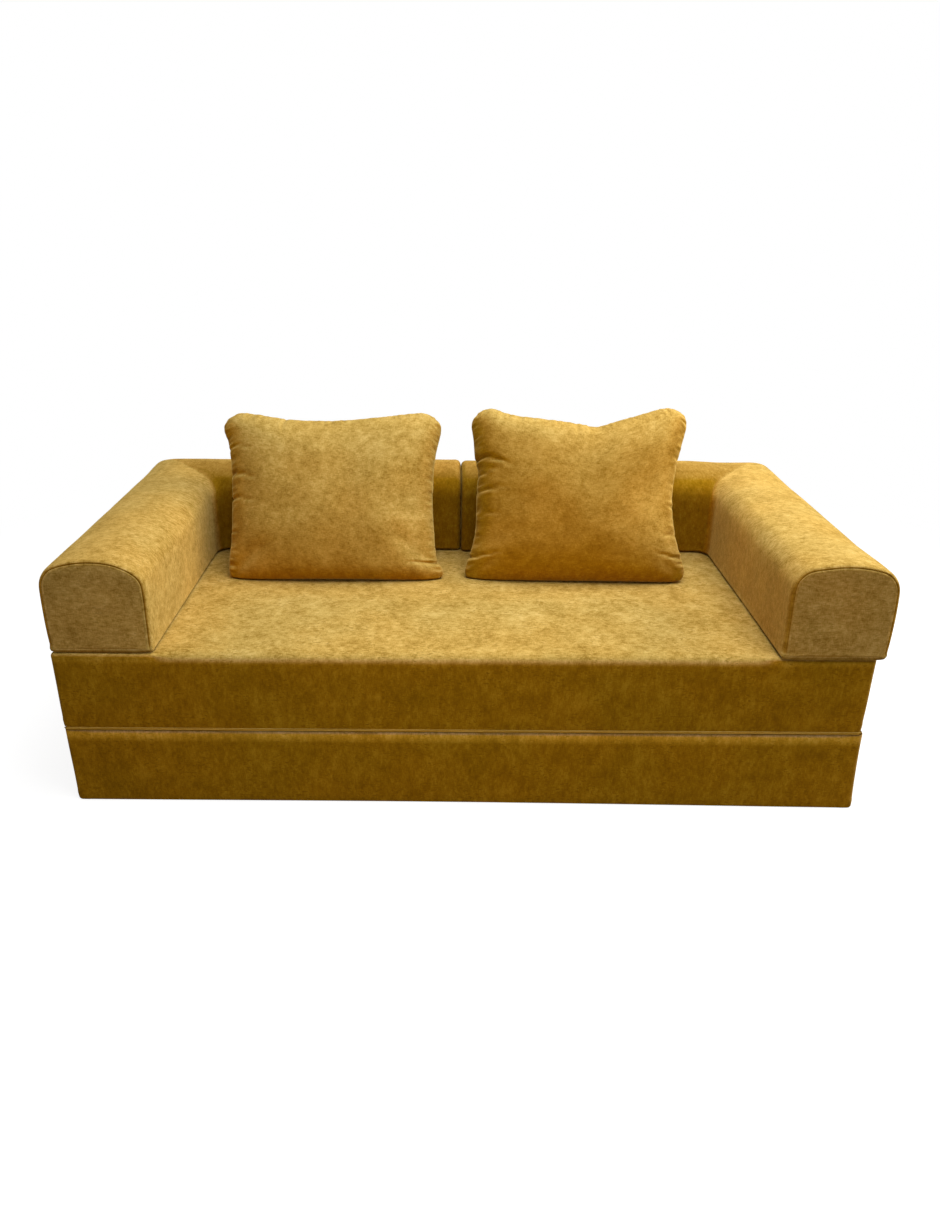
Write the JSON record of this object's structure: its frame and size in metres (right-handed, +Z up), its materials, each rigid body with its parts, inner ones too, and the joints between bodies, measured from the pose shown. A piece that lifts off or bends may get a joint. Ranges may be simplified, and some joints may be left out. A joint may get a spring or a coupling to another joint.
{
  "type": "foam sofa bed",
  "caption": "Frameless foam sofa bed: stacked slabs hinged along the front fold out flat, with loose L-shaped bolsters as arms and back, and loose pillows.",
  "frame": {"origin": "On the floor under the middle of the sofa", "axes": "+X to the right of someone facing the sofa, +Y from the front edge to the back, +Z up"},
  "size_m": [1.909, 0.9104, 0.8073],
  "materials": {
    "chenille": "soft crushed-pile chenille, mustard yellow",
    "foam": "open-cell polyurethane foam",
    "wadding": "bonded polyester wadding",
    "pillow_fibre": "polyester fibre in a white inner case",
    "underside": "non-slip woven lining",
    "hook_and_loop": "hook and loop tape",
    "zip_tape": "woven zip tape with a nylon coil",
    "zip_metal": "dull antique metal"
  },
  "bodies": {
    "seat": {"seat_foam": "foam", "seat_wadding": "wadding", "seat_cover": "chenille", "seat_zip": "zip_tape", "hinge_strip": "chenille", "left_loop_strips": "hook_and_loop", "right_loop_strips": "hook_and_loop"},
    "seat_slider": {"seat_zip_slider": "zip_metal"},
    "base": {"base_foam": "foam", "base_wadding": "wadding", "base_cover": "chenille", "base_underside": "underside", "base_zip": "zip_tape"},
    "base_slider": {"base_zip_slider": "zip_metal"},
    "left_bolster": {"left_arm_foam": "foam", "left_back_foam": "foam", "left_bolster_wadding": "wadding", "left_bolster_cover": "chenille", "left_bolster_zip": "zip_tape", "left_hook_strips": "hook_and_loop"},
    "left_bolster_slider": {"left_bolster_zip_slider": "zip_metal"},
    "right_bolster": {"right_arm_foam": "foam", "right_back_foam": "foam", "right_bolster_wadding": "wadding", "right_bolster_cover": "chenille", "right_bolster_zip": "zip_tape", "right_hook_strips": "hook_and_loop"},
    "right_bolster_slider": {"right_bolster_zip_slider": "zip_metal"},
    "left_pillow": {"left_pillow_insert": "pillow_fibre", "left_pillow_cover": "chenille", "left_pillow_zip": "zip_tape"},
    "right_pillow": {"right_pillow_insert": "pillow_fibre", "right_pillow_cover": "chenille", "right_pillow_zip": "zip_tape"}
  },
  "joints": [
    {"name": "base_fold", "type": "hinge", "parent": "seat", "child": "base", "pos_m": [0, -0.4525, 0.2022], "axis": [-1, 0, 0], "range_deg": [0, 180]},
    {"name": "left_bolster_lift", "type": "slide", "parent": "seat", "child": "left_bolster", "axis": [0, 0.5, 0.866], "range_m": [0, 0.35]},
    {"name": "right_bolster_lift", "type": "slide", "parent": "seat", "child": "right_bolster", "axis": [0, 0.5, 0.866], "range_m": [0, 0.35]},
    {"name": "left_pillow_lift", "type": "slide", "parent": "seat", "child": "left_pillow", "axis": [0, 0, 1], "range_m": [0, 0.45]},
    {"name": "right_pillow_lift", "type": "slide", "parent": "seat", "child": "right_pillow", "axis": [0, 0, 1], "range_m": [0, 0.45]},
    {"name": "base_zip_run", "type": "slide", "parent": "base", "child": "base_slider", "axis": [-1, 0, 0], "range_m": [0, 1.48]},
    {"name": "seat_zip_run", "type": "slide", "parent": "seat", "child": "seat_slider", "axis": [-1, 0, 0], "range_m": [0, 1.48]},
    {"name": "left_bolster_zip_run", "type": "slide", "parent": "left_bolster", "child": "left_bolster_slider", "axis": [-1, 0, 0], "range_m": [0, 0.54]},
    {"name": "right_bolster_zip_run", "type": "slide", "parent": "right_bolster", "child": "right_bolster_slider", "axis": [1, 0, 0], "range_m": [0, 0.54]}
  ]
}
